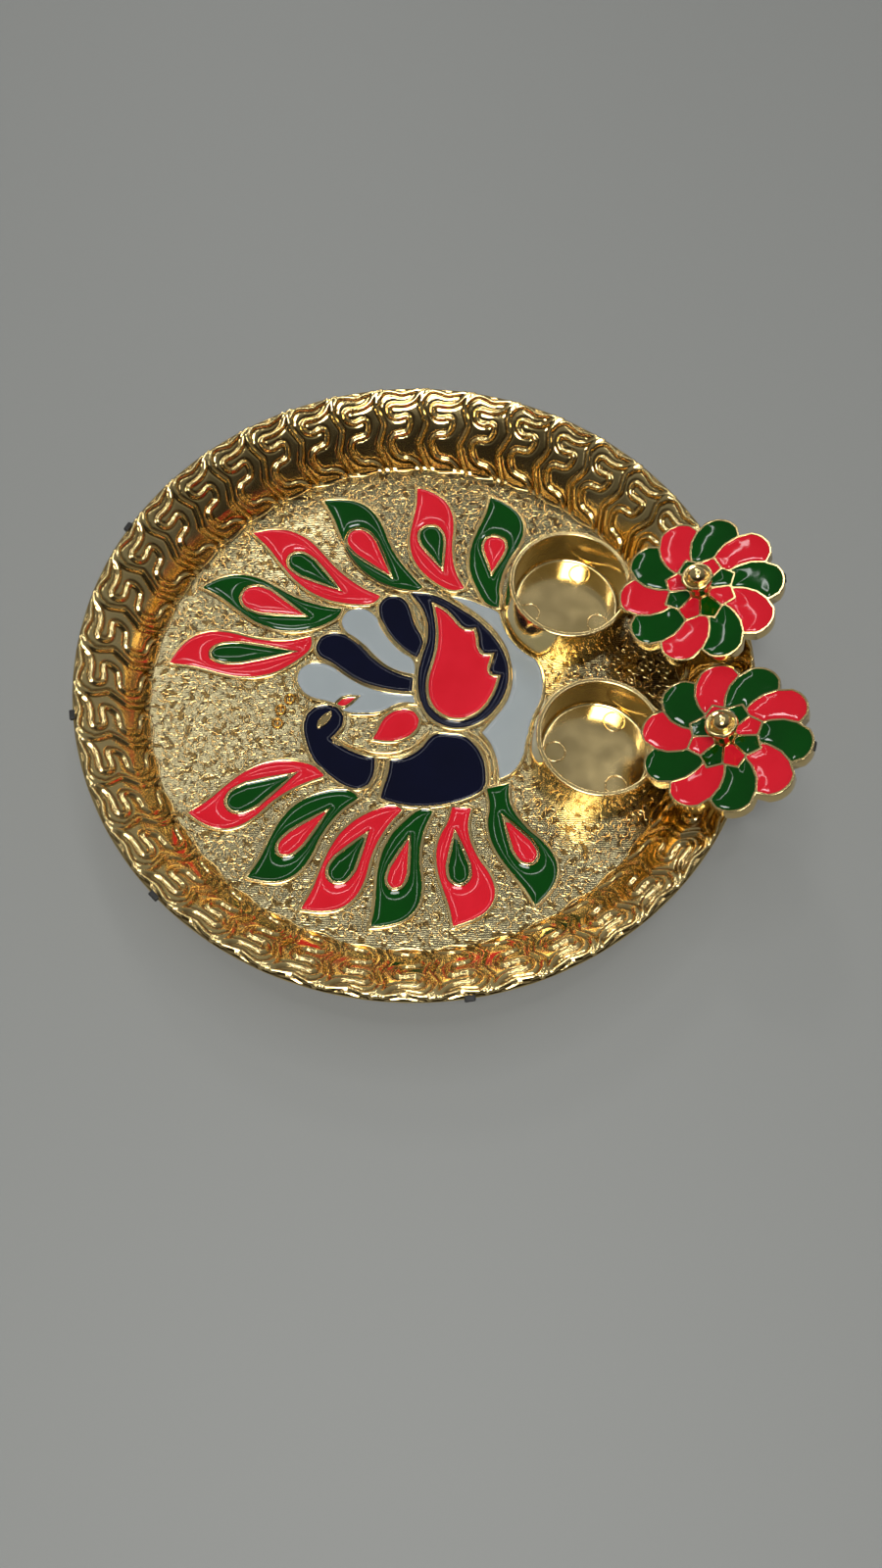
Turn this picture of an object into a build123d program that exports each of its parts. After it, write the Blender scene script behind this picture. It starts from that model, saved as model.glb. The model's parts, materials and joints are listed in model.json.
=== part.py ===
from build123d import *
from math import acos, cos, degrees, hypot, radians, sin, sqrt
import os

# Tray: one moulded dish with a flat floor and a rim that curves outwards
tray_radius = 87.5
floor_radius = 71.7
floor_thickness = 2.0
rim_height = 17.5  # crest of the rim above the floor
rim_wall = 1.8
rim_bulge = 1.6  # how far the inner wall rounds in from a straight cone
lip_width = 1.4
lip_drop = 0.8

# Raised walls that ring each patch of enamel on the floor
cell_wall = 0.9
cell_height = 0.6
enamel_drop = 0.1  # enamel surface below the wall tops
sink = 0.2  # how far added walls reach into what carries them

# Two cups bonded to the floor
cup_height = 14.0
cup_base_radius = 17.2
cup_rim_radius = 16.4
cup_rim_width = 1.4
cup_floor_radius = 14.4
cup_floor_height = 2.8
foot_ring_width = 2.2
foot_recess = 1.2
foot_clearance = 0.25  # between a cup's foot and the cell walls round it
cup_1_margin = 6.3  # from a cup's foot to the edge of the floor
cup_2_margin = 3.6
cups_lean = 5.9  # degrees that the middle between the cups lies off the tray's own direction

# Flower lids: ten petals, a skirt outside the cup's rim and a plug inside its mouth
petal_count = 10
star_count = 8  # small cells round the knob
petal_rise = 3.2  # petal tips beyond the notches between petals
lid_gap = 3.45  # between the petal tips of two lids on their cups
petal_swirl = 13.0  # degrees that a dividing wall turns on its way out
petal_lead = 15.0  # degrees from a petal's middle to the notch ahead of it
skirt_depth = 3.6
skirt_wall = 0.9
skirt_play = 0.3
plate_thickness = 1.6
plug_depth = 9.3  # from the lid's top face
plug_wall = 1.2
plug_play = 0.5
lid_edge = 0.5  # gold line outside the petals
lid_wall = 0.5  # gold line between two cells
lid_pocket = 0.6
star_inner_radius = 2.9
star_valley_radius = 7.7
star_tip_radius = 9.4
star_turn = 27.5  # degrees from the first petal's middle to a tip of the star
round_power = 0.6  # fullness of a petal's outer edge
notch_radius = cup_rim_radius + skirt_play + skirt_wall
tip_radius = notch_radius + petal_rise
plug_radius = cup_floor_radius - plug_play

# Knobs: a peg through the plate, a foot, a collar and a domed button
peg_radius = 1.2
knob_foot_radius = 2.4
knob_neck_radius = 1.9
collar_radius = 4.0
collar_low = 4.7
collar_high = 6.2
button_radius = 2.65
knob_height = 8.3

# Lids off their cups: propped on the cup's rim and on the tray's rim
lid_place_shares = (0.556, 0.619)  # of the way from a cup's rim to the tray's lip
lid_directions = (-13.2, -8.4)  # from the cup that each lid leans on
uphill_directions = (0.0, -18.7)  # which way each propped lid rises
petal_turns = (37.0, -13.4)  # direction of the first petal
first_greens = (1, 0)  # the moulding is one, but the colours start at another petal
rest_gap = 0.3

# The picture's width as a share of the floor between its left edge and the cups
picture_share = 0.755

# Feathers as shares of the picture's half width and of the floor radius: root, tip, inner belly,
# outer belly, half width at the root, then the eye's point, its round end and its half width
feather_shares = (
    ((-0.409, 0.184), (-0.941, 0.077), 0.112, 0.107, 0.025, (-0.478, 0.141), (-0.795, 0.123), 0.040),
    ((-0.307, 0.315), (-0.851, 0.411), 0.123, 0.086, 0.018, (-0.446, 0.300), (-0.697, 0.391), 0.053),
    ((-0.167, 0.377), (-0.676, 0.667), 0.105, 0.089, 0.021, (-0.321, 0.423), (-0.523, 0.568), 0.042),
    ((0.000, 0.432), (-0.404, 0.830), 0.106, 0.106, 0.012, (-0.121, 0.492), (-0.286, 0.693), 0.050),
    ((0.148, 0.434), (-0.028, 0.907), 0.123, 0.092, 0.025, (0.081, 0.534), (0.018, 0.725), 0.046),
    ((0.289, 0.363), (0.272, 0.872), 0.093, 0.127, 0.025, (0.279, 0.520), (0.293, 0.686), 0.043),
    ((-0.331, -0.353), (-0.802, -0.523), 0.102, 0.103, 0.014, (-0.439, -0.363), (-0.669, -0.495), 0.047),
    ((-0.209, -0.432), (-0.569, -0.756), 0.106, 0.100, 0.021, (-0.307, -0.502), (-0.467, -0.669), 0.033),
    ((-0.049, -0.478), (-0.370, -0.865), 0.088, 0.110, 0.017, (-0.160, -0.586), (-0.272, -0.763), 0.040),
    ((0.056, -0.484), (-0.126, -0.921), 0.079, 0.117, 0.021, (-0.007, -0.600), (-0.056, -0.785), 0.031),
    ((0.180, -0.474), (0.160, -0.911), 0.078, 0.138, 0.033, (0.160, -0.576), (0.181, -0.762), 0.036),
    ((0.311, -0.386), (0.446, -0.827), 0.082, 0.117, 0.042, (0.335, -0.509), (0.439, -0.674), 0.036),
)
upper_feathers = 6  # the first rows hook the other way from the rest
inner_edge_shares = ((0.06, 0.42), (0.25, 0.90), (0.43, 1.00), (0.65, 0.68), (0.85, 0.22))
outer_edge_shares = ((0.925, 0.53), (0.80, 0.97), (0.64, 1.00), (0.47, 0.63), (0.30, 0.30), (0.12, 0.16))
eye_edge_shares = ((0.30, 0.46), (0.62, 0.96), (0.84, 0.92), (0.97, 0.45))

# Peacock in the same shares: each patch is a list of smooth runs that meet at corners
peacock_shares = {
    "wing_flame": (
        ((0.059, 0.358), (0.112, 0.321), (0.146, 0.279), (0.174, 0.248), (0.211, 0.255)),
        ((0.211, 0.255), (0.220, 0.216), (0.223, 0.181), (0.237, 0.151), (0.278, 0.148)),
        ((0.278, 0.148), (0.268, 0.112), (0.265, 0.077), (0.283, 0.056), (0.304, 0.056)),
        ((0.304, 0.056), (0.293, 0.014), (0.265, -0.049), (0.223, -0.098), (0.160, -0.121),
         (0.098, -0.105), (0.056, -0.056), (0.045, 0.000), (0.052, 0.070), (0.070, 0.139),
         (0.078, 0.209), (0.074, 0.279), (0.059, 0.358)),
    ),
    "wing_ring": (
        ((-0.038, 0.414), (0.000, 0.418), (0.070, 0.402), (0.139, 0.360), (0.209, 0.314),
         (0.279, 0.244), (0.328, 0.167), (0.349, 0.091), (0.344, 0.014), (0.304, -0.070),
         (0.237, -0.139), (0.160, -0.160), (0.084, -0.144), (0.035, -0.098), (0.010, -0.028),
         (0.004, 0.056), (0.014, 0.126), (0.035, 0.195), (0.040, 0.251), (0.021, 0.321),
         (-0.007, 0.377), (-0.038, 0.414)),
    ),
    "crescent": (
        ((0.122, 0.402), (0.181, 0.392), (0.237, 0.368), (0.279, 0.357), (0.328, 0.307),
         (0.363, 0.230), (0.404, 0.181), (0.453, 0.139), (0.471, 0.084), (0.477, 0.000),
         (0.453, -0.070), (0.425, -0.139), (0.416, -0.223), (0.391, -0.286), (0.349, -0.349),
         (0.317, -0.356)),
        ((0.317, -0.356), (0.311, -0.307), (0.293, -0.237), (0.251, -0.174)),
        ((0.251, -0.174), (0.286, -0.126), (0.335, -0.063), (0.363, 0.014), (0.363, 0.084),
         (0.342, 0.181), (0.279, 0.279), (0.181, 0.363), (0.122, 0.402)),
    ),
    "blue_plume_1": (
        ((-0.004, 0.130), (-0.070, 0.174), (-0.126, 0.244), (-0.160, 0.321), (-0.158, 0.370),
         (-0.112, 0.404), (-0.056, 0.384), (-0.035, 0.335), (-0.010, 0.258), (0.021, 0.209)),
        ((0.021, 0.209), (0.008, 0.153), (-0.004, 0.130)),
    ),
    "white_plume_1": (
        ((-0.011, 0.060), (-0.056, 0.066), (-0.112, 0.091), (-0.167, 0.139), (-0.223, 0.195),
         (-0.286, 0.237), (-0.307, 0.276), (-0.286, 0.321), (-0.237, 0.342), (-0.181, 0.321),
         (-0.153, 0.279), (-0.112, 0.209), (-0.049, 0.146), (-0.007, 0.112)),
        ((-0.007, 0.112), (-0.011, 0.060)),
    ),
    "blue_plume_2": (
        ((-0.017, -0.014), (-0.070, -0.011), (-0.139, 0.000), (-0.209, 0.021), (-0.279, 0.063),
         (-0.335, 0.105), (-0.377, 0.119), (-0.395, 0.167), (-0.377, 0.209), (-0.328, 0.230),
         (-0.272, 0.218), (-0.216, 0.172), (-0.160, 0.112), (-0.098, 0.070), (-0.042, 0.049),
         (-0.014, 0.042)),
        ((-0.014, 0.042), (-0.017, -0.014)),
    ),
    "white_plume_2": (
        ((-0.011, -0.031), (-0.070, -0.028), (-0.139, -0.017), (-0.209, 0.007), (-0.279, 0.049),
         (-0.342, 0.090), (-0.391, 0.100), (-0.432, 0.084), (-0.457, 0.042), (-0.439, -0.014),
         (-0.391, -0.053), (-0.335, -0.060), (-0.293, -0.073)),
        ((-0.293, -0.073), (-0.279, -0.095), (-0.251, -0.107), (-0.181, -0.107), (-0.126, -0.100),
         (-0.084, -0.070), (-0.042, -0.056), (-0.004, -0.060)),
        ((-0.004, -0.060), (-0.011, -0.031)),
    ),
    "crest": (
        ((-0.293, -0.074), (-0.279, -0.056), (-0.251, -0.047), (-0.230, -0.047)),
        ((-0.230, -0.047), (-0.244, -0.063), (-0.272, -0.084), (-0.293, -0.074)),
    ),
    "neck": (
        ((-0.144, -0.289), (-0.195, -0.279), (-0.251, -0.255), (-0.311, -0.215)),
        ((-0.311, -0.215), (-0.300, -0.199), (-0.273, -0.174), (-0.264, -0.132), (-0.279, -0.098),
         (-0.307, -0.080), (-0.335, -0.078), (-0.391, -0.098), (-0.411, -0.132), (-0.414, -0.167),
         (-0.397, -0.237), (-0.370, -0.300), (-0.321, -0.349), (-0.265, -0.391), (-0.209, -0.414),
         (-0.174, -0.409), (-0.149, -0.377), (-0.142, -0.335), (-0.144, -0.289)),
    ),
    "body": (
        ((0.264, -0.400), (0.209, -0.432), (0.139, -0.457), (0.056, -0.470), (-0.028, -0.469),
         (-0.114, -0.446)),
        ((-0.114, -0.446), (-0.105, -0.404), (-0.091, -0.349), (-0.086, -0.296)),
        ((-0.086, -0.296), (-0.028, -0.286), (0.014, -0.258), (0.049, -0.216), (0.077, -0.180),
         (0.126, -0.186), (0.174, -0.184)),
        ((0.174, -0.184), (0.223, -0.223), (0.255, -0.279), (0.265, -0.349), (0.264, -0.400)),
    ),
    "leaf": (
        ((-0.153, -0.212), (-0.135, -0.174), (-0.119, -0.130), (-0.084, -0.100), (-0.042, -0.086),
         (-0.010, -0.092), (0.010, -0.110), (0.018, -0.132), (0.006, -0.167), (-0.028, -0.202),
         (-0.084, -0.218), (-0.153, -0.212)),
    ),
}

floor_top = floor_thickness
rim_top = floor_top + rim_height
cup_top = floor_top + cup_height


def around(distance, direction, centre=(0, 0)):
    angle = radians(direction)
    return (centre[0] + distance * cos(angle), centre[1] + distance * sin(angle))


# The cups stand side by side near the rim, far enough apart for both lids
near, far = floor_radius - cup_base_radius - cup_1_margin, floor_radius - cup_base_radius - cup_2_margin
cup_spacing = 2 * tip_radius + lid_gap
spread = degrees(acos((near * near + far * far - cup_spacing * cup_spacing) / (2 * near * far)))
cup_centres = [around(near, cups_lean + spread / 2), around(far, cups_lean - spread / 2)]
cups_left = min(x for x, y in cup_centres) - cup_base_radius
picture_half_width = picture_share * (floor_radius + cups_left)


def on_floor(x_share, y_share):
    return (picture_half_width * (1 + x_share) - floor_radius, floor_radius * y_share)


def smooth_run(points):
    if len(points) == 2:
        return list(points[:1])
    curve = Spline(*points)
    steps = len(points)
    return [((curve @ (k / steps)).X, (curve @ (k / steps)).Y) for k in range(steps)]


def grown(points, width):
    # Moves each side of a closed outline outwards, or inwards for a negative width
    twice_area = 0
    for (ax, ay), (bx, by) in zip(points, points[1:] + points[:1]):
        twice_area += ax * by - bx * ay
    side = 1 if twice_area > 0 else -1
    moved = []
    for k, (x, y) in enumerate(points):
        (ax, ay), (bx, by) = points[k - 1], points[(k + 1) % len(points)]
        before, after = hypot(x - ax, y - ay), hypot(bx - x, by - y)
        nx, ny = (y - ay) / before + (by - y) / after, (ax - x) / before + (x - bx) / after
        size = hypot(nx, ny)
        reach = side * width * min(2 / size, 2)  # long points are blunted
        moved.append((x + reach * nx / size, y + reach * ny / size))
    return moved


def face_of(points):
    return make_face(Polyline(*points, close=True))


def feather_points(row):
    root, tip, inner, outer, half = row[:5]
    side = 1 if feather_shares.index(row) < upper_feathers else -1
    ax, ay = tip[0] - root[0], tip[1] - root[1]
    length = hypot(ax, ay)
    nx, ny = -side * ay / length, side * ax / length

    def at(along, off):
        return on_floor(root[0] + along * ax + off * nx, root[1] + along * ay + off * ny)

    first = [at(0, half)] + [at(u, inner * v) for u, v in inner_edge_shares] + [at(1, 0)]
    second = [at(1, 0)] + [at(u, -outer * v) for u, v in outer_edge_shares] + [at(0, -half)]
    return smooth_run(first) + smooth_run(second) + [second[-1]]


def eye_points(row):
    point, end, half = row[5:]
    ax, ay = end[0] - point[0], end[1] - point[1]
    length = hypot(ax, ay)
    rim = [(u, v) for u, v in eye_edge_shares]
    rim += [(u, -v) for u, v in reversed(eye_edge_shares)]
    places = [(0, 0)] + rim
    nx, ny = -half * ay / length, half * ax / length
    return [on_floor(point[0] + u * ax + v * nx, point[1] + u * ay + v * ny) for u, v in places]


def peacock_points(name):
    points = []
    for run in peacock_shares[name]:
        points += smooth_run([on_floor(x, y) for x, y in run])
    return points


def save(shape, name):
    shape.label = name
    export_step(shape, "parts/" + name + ".step")


# Outlines of every patch of enamel on the floor, and the patch that lies inside it
outlines = {}
inside = {"wing_ring": "wing_flame", "white_plume_2": "crest"}
for number, row in enumerate(feather_shares, start=1):
    feather, eye = f"feather_{number}", f"feather_{number}_eye"
    outlines[feather] = feather_points(row)
    outlines[eye] = eye_points(row)
    inside[feather] = eye
for name in peacock_shares:
    outlines[name] = peacock_points(name)

walls_2d = Sketch() + [face_of(grown(points, cell_wall)) for points in outlines.values()]
feet_2d = [Pos(*centre) * Circle(cup_base_radius + foot_clearance) for centre in cup_centres]
wall_feet_2d = [
    Pos(*centre) * Circle(cup_base_radius + foot_clearance + cell_wall) for centre in cup_centres
]
patches = {}
for name, points in outlines.items():
    patch = face_of(points)
    if name in inside:
        patch -= face_of(grown(outlines[inside[name]], cell_wall))
    patches[name] = patch - wall_feet_2d
walls_2d -= list(patches.values()) + feet_2d

# Tray
rim_run, rim_slope = tray_radius - lip_width - floor_radius, rim_height
rim_chord = hypot(rim_run, rim_slope)
normal = (-rim_slope / rim_chord, rim_run / rim_chord)
inner_low, inner_high = (floor_radius, floor_top), (tray_radius - lip_width, rim_top)
inner_mid = tuple((a + b) / 2 + rim_bulge * n for a, b, n in zip(inner_low, inner_high, normal))
outer_mid = tuple(m - rim_wall * n for m, n in zip(inner_mid, normal))
inner_wall = ThreePointArc(inner_low, inner_mid, inner_high)
outer_high, outer_low = (tray_radius, rim_top - lip_drop), (floor_radius + rim_wall / 2, 0)
tray_profile = make_face(
    Curve()
    + Polyline(outer_low, (0, 0), (0, floor_top), inner_low)
    + inner_wall
    + Line(inner_high, outer_high)
    + ThreePointArc(outer_high, outer_mid, outer_low)
)
tray = revolve(Plane.XZ * tray_profile, Axis.Z)
tray += Pos(0, 0, floor_top - sink) * extrude(walls_2d, cell_height + sink)
os.makedirs("parts", exist_ok=True)
save(tray, "tray")
for name, patch in patches.items():
    save(Pos(0, 0, floor_top) * extrude(patch, cell_height - enamel_drop), name + "_enamel")

# Cups
mouth_radius = cup_rim_radius - cup_rim_width
cup_profile = make_face(
    Polyline(
        (0, foot_recess),
        (cup_base_radius - foot_ring_width, foot_recess),
        (cup_base_radius - foot_ring_width, 0),
        (cup_base_radius, 0),
        (cup_rim_radius, cup_height),
        (mouth_radius, cup_height),
        (cup_floor_radius, cup_floor_height),
        (0, cup_floor_height),
        close=True,
    )
)
cup = revolve(Plane.XZ * cup_profile, Axis.Z)
for number, (x, y) in enumerate(cup_centres, start=1):
    save(Pos(x, y, floor_top) * cup, f"cup_{number}")

# Lid, drawn with its top face at height 0 and a petal's middle in direction 0
petal_pitch = 360 / petal_count
edge_steps = 6
divider_steps = 3


def petal_edge(notch):
    # Outer edge of one petal, from the notch behind it to the one ahead
    points = []
    for k in range(edge_steps):
        part = k / edge_steps
        radius = notch_radius + petal_rise * sin(radians(180 * part)) ** round_power
        points.append(around(radius, notch + petal_pitch * part))
    return points


def divider(notch):
    # Dividing line between two petals, from inside the star out to its notch
    start_radius = star_valley_radius - lid_wall
    points = []
    for k in range(divider_steps):
        part = k / divider_steps
        radius = start_radius + (notch_radius - start_radius) * part
        points.append(around(radius, notch + petal_swirl * (1 - part * part)))
    return points


notches = [petal_lead + petal_pitch * k for k in range(petal_count)]
lid_outline = []
for notch in notches:
    lid_outline += petal_edge(notch - petal_pitch)
tips = [star_turn + 360 / star_count * k for k in range(star_count)]
half_star = 180 / star_count
star_outline = []
stars = []
for tip in tips:
    edge = [around(star_valley_radius, tip - half_star), around(star_tip_radius, tip)]
    star_outline += edge
    edge += [around(star_valley_radius, tip + half_star), around(star_inner_radius, tip + half_star)]
    edge += [around(star_inner_radius, tip - half_star)]
    stars.append(face_of(grown(edge, -lid_wall / 2)))
petal_room = face_of(grown(lid_outline, -lid_edge)) - face_of(grown(star_outline, lid_wall / 2))
petals = []
for ahead in notches:
    behind = ahead - petal_pitch
    back = divider(ahead)[::-1]
    petal = divider(behind) + petal_edge(behind) + [around(notch_radius, ahead)] + back
    petals.append(face_of(grown(petal, -lid_wall / 2)) & petal_room)

lid = Pos(0, 0, -skirt_depth) * extrude(face_of(lid_outline), skirt_depth)
hollow = face_of(grown(lid_outline, -skirt_wall))
lid -= Pos(0, 0, -skirt_depth) * extrude(hollow, skirt_depth - plate_thickness)
plug = Circle(plug_radius) - Circle(plug_radius - plug_wall)
lid += Pos(0, 0, -plug_depth) * extrude(plug, plug_depth - plate_thickness + sink)
lid -= Pos(0, 0, -lid_pocket) * extrude(Sketch() + petals + stars, lid_pocket)
lid -= Pos(0, 0, -plate_thickness) * extrude(Circle(peg_radius), plate_thickness)

button_low = knob_height - button_radius
dome = [around(button_radius, a, (0, button_low)) for a in (0, 50)]
knob_profile = make_face(
    Polyline(
        (0, knob_height),
        (0, -plate_thickness),
        (peg_radius, -plate_thickness),
        (peg_radius, 0),
        (knob_foot_radius, 0),
        (knob_neck_radius, collar_low),
        (collar_radius, collar_low),
        (collar_radius, collar_high),
        *dome,
        close=True,
    )
)
knob = revolve(Plane.XZ * knob_profile, Axis.Z)


def petal_fill(faces, first):
    fill = Sketch() + faces[first::2]
    return Pos(0, 0, -lid_pocket) * extrude(fill, lid_pocket - enamel_drop)


def height_over(centre, radius, height, reach, depth, place, uphill, tilt):
    # Height of a tilted lid's middle at which a face below its top just clears a level ring
    steps, highest = 360, 0
    rise, run = sin(radians(tilt)), cos(radians(tilt))
    for k in range(steps):
        x, y = around(radius, 360 * k / steps, centre)
        x, y = x - place[0], y - place[1]
        ux, uy = around(1, uphill)
        along, across = x * ux + y * uy, y * ux - x * uy
        if hypot((along - depth * rise) / run, across) < reach:
            highest = max(highest, height - along * rise / run + depth / run)
    return highest


# Level rings that can carry a lid, and the lid's lower faces as a reach and a depth
ring_steps = 8
wall_points = [inner_wall @ (k / ring_steps) for k in range(ring_steps + 1)]
rings = [((0, 0), point.X, point.Y) for point in wall_points]
rings += [((0, 0), *outer_high)] + [(centre, cup_rim_radius, cup_top) for centre in cup_centres]
lower_faces = ((tip_radius, skirt_depth), (plug_radius, plug_depth))


def resting_height(place, uphill, tilt):
    return max(height_over(*ring, *face, place, uphill, tilt) for ring in rings for face in lower_faces)


def propped(place, uphill):
    # Tilts a level lid by ever finer steps for as long as its middle sinks
    tilt, step, finest_step = 0, 1, 0.01
    while step > finest_step:
        if resting_height(place, uphill, tilt + step) < resting_height(place, uphill, tilt):
            tilt += step
        else:
            step /= 2
    return tilt, resting_height(place, uphill, tilt) + rest_gap


def to_lip(centre, direction):
    # Way from a place on the floor to the tray's lip, seen from above
    ux, uy = around(1, direction)
    along, across = centre[0] * ux + centre[1] * uy, centre[1] * ux - centre[0] * uy
    lip_radius = tray_radius - lip_width
    return sqrt(lip_radius * lip_radius - across * across) - along


for number in range(1, 3):
    k = number - 1
    free_way = to_lip(cup_centres[k], lid_directions[k]) - cup_rim_radius
    lid_distance = cup_rim_radius + lid_place_shares[k] * free_way
    place = around(lid_distance, lid_directions[k], cup_centres[k])
    uphill = uphill_directions[k]
    tilt, height = propped(place, uphill)
    rest = Pos(*place, height) * Rot(0, 0, uphill) * Rot(0, -tilt, 0) * Rot(0, 0, petal_turns[k] - uphill)
    save(rest * lid, f"lid_{number}")
    save(rest * knob, f"lid_{number}_knob")
    save(rest * petal_fill(petals, first_greens[k]), f"lid_{number}_green_petals")
    save(rest * petal_fill(petals, 1 - first_greens[k]), f"lid_{number}_red_petals")
    save(rest * petal_fill(stars, 1), f"lid_{number}_green_star")
    save(rest * petal_fill(stars, 0), f"lid_{number}_red_star")
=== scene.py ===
import json
import random
from math import cos, degrees, exp, radians, sin, sqrt

import bmesh
import bpy
from mathutils import Matrix, Vector
from mathutils.kdtree import KDTree


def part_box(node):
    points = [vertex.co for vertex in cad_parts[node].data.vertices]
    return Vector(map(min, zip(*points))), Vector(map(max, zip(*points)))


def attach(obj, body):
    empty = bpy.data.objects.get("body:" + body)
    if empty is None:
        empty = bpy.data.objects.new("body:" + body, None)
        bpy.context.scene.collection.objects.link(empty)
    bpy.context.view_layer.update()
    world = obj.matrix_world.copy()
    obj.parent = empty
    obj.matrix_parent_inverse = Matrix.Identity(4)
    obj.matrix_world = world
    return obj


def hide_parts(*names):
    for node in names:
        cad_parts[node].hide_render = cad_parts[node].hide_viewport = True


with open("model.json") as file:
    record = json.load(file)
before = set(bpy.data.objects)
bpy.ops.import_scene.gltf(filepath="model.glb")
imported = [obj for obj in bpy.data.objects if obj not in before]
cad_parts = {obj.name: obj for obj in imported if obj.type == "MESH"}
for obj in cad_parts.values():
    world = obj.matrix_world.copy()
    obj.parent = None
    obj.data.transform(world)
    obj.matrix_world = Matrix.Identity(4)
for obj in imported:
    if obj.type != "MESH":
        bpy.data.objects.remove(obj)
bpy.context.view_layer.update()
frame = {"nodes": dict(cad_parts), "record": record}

mm = 0.001
scene = bpy.context.scene
scene.view_settings.view_transform = "Standard"
waveScale = 0.314  # a wave texture of this scale repeats once in a unit
enamelGloss = {"rough": 0.06, "specular": 0.3, "waveStrength": 0.25, "waveDepth": 0.05}


# helpers for materials
def linear(hexCode):
    channels = [int(hexCode[k:k + 2], 16) / 255 for k in (1, 3, 5)]
    return [c / 12.92 if c <= 0.04045 else ((c + 0.055) / 1.055) ** 2.4 for c in channels] + [1.0]


def addNode(tree, kind, settings=None, links=None):
    node = tree.nodes.new(kind)
    for name, value in (settings or {}).items():
        if isinstance(name, str) and name not in node.inputs:
            setattr(node, name, value)
        else:
            node.inputs[name].default_value = value
    for name, source in (links or {}).items():
        tree.links.new(source, node.inputs[name])
    return node


def newMaterial(name):
    material = bpy.data.materials.new(name)
    material.use_nodes = True
    tree = material.node_tree
    return material, tree, tree.nodes["Principled BSDF"]


def goldPlate(name, look):
    # plated ABS: a bright metal skin that copies every wave of the moulding under it
    material, tree, shader = newMaterial(name)
    place = addNode(tree, "ShaderNodeTexCoord").outputs["Object"]
    smear = addNode(tree, "ShaderNodeTexNoise", {"Scale": 1 / (look["smear"] * mm), "Detail": 4.0},
                    {"Vector": place})
    tone = addNode(tree, "ShaderNodeMapRange", {"From Min": 0.3, "From Max": 0.7, "To Min": look["rough"][0],
                                                "To Max": look["rough"][1]}, {"Value": smear.outputs["Fac"]})
    tint = addNode(tree, "ShaderNodeMix", {"data_type": "RGBA", 6: linear(look["dark"]), 7: linear(look["light"])},
                   {0: smear.outputs["Fac"]})
    paintedShade = addNode(tree, "ShaderNodeAttribute", {"attribute_name": "hollow"})  # painted shade in the rim relief's ditches and low on its wall; 0 on pieces without it
    tint = addNode(tree, "ShaderNodeMix", {"data_type": "RGBA", 7: linear(look["hollow"])},
                   {0: paintedShade.outputs["Fac"], 6: tint.outputs[2]})
    wave = addNode(tree, "ShaderNodeTexNoise", {"Scale": 1 / (look["wave"] * mm), "Detail": 2.0},
                   {"Vector": place})
    bump = addNode(tree, "ShaderNodeBump", {"Strength": look["waveStrength"], "Distance": look["waveDepth"] * mm},
                   {"Height": wave.outputs["Fac"]})
    shader.inputs["Metallic"].default_value = 1.0
    tree.links.new(tint.outputs[2], shader.inputs["Base Color"])
    tree.links.new(tone.outputs["Result"], shader.inputs["Roughness"])
    tree.links.new(bump.outputs["Normal"], shader.inputs["Normal"])
    return material


def chasedGold(name, look):
    # the floor's moulded chasing: fine hatch lines and small pits, with painted shade, darker in the hatch grooves
    # and amber in the pits
    material, tree, shader = newMaterial(name)
    place = addNode(tree, "ShaderNodeTexCoord").outputs["Object"]
    hatch = addNode(tree, "ShaderNodeTexWave", {"Scale": waveScale / (look["hatch"] * mm), "Distortion": 5.0,
                                                "Detail": 2.0, "Detail Scale": 0.5, "bands_direction": "Y"},
                    {"Vector": place})
    cloud = addNode(tree, "ShaderNodeTexNoise", {"Scale": 1 / (look["pit"] * mm), "Detail": 1.0},
                    {"Vector": place})
    pits = addNode(tree, "ShaderNodeMapRange", {"interpolation_type": "SMOOTHSTEP", "From Min": 0.47,
                                                "From Max": 0.37}, {"Value": cloud.outputs["Fac"]})
    lined = addNode(tree, "ShaderNodeBump", {"Strength": 0.7, "Distance": look["hatchDepth"] * mm},
                    {"Height": hatch.outputs["Fac"]})
    pitted = addNode(tree, "ShaderNodeBump", {"Strength": 0.7, "Distance": look["pitDepth"] * mm, "invert": True},
                     {"Height": pits.outputs["Result"], "Normal": lined.outputs["Normal"]})
    # painted shade: the hatch grooves are darker than its crests
    tint = addNode(tree, "ShaderNodeMix", {"data_type": "RGBA", 6: linear(look["dark"]), 7: linear(look["light"])},
                   {0: hatch.outputs["Fac"]})
    # painted shade: amber in the sunk pits
    paintedShade = addNode(tree, "ShaderNodeMix", {"data_type": "RGBA", 7: linear(look["paintedShade"])},
                   {0: pits.outputs["Result"], 6: tint.outputs[2]})
    shader.inputs["Metallic"].default_value = 1.0
    shader.inputs["Roughness"].default_value = look["rough"]
    tree.links.new(paintedShade.outputs[2], shader.inputs["Base Color"])
    tree.links.new(pitted.outputs["Normal"], shader.inputs["Normal"])
    return material


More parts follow.
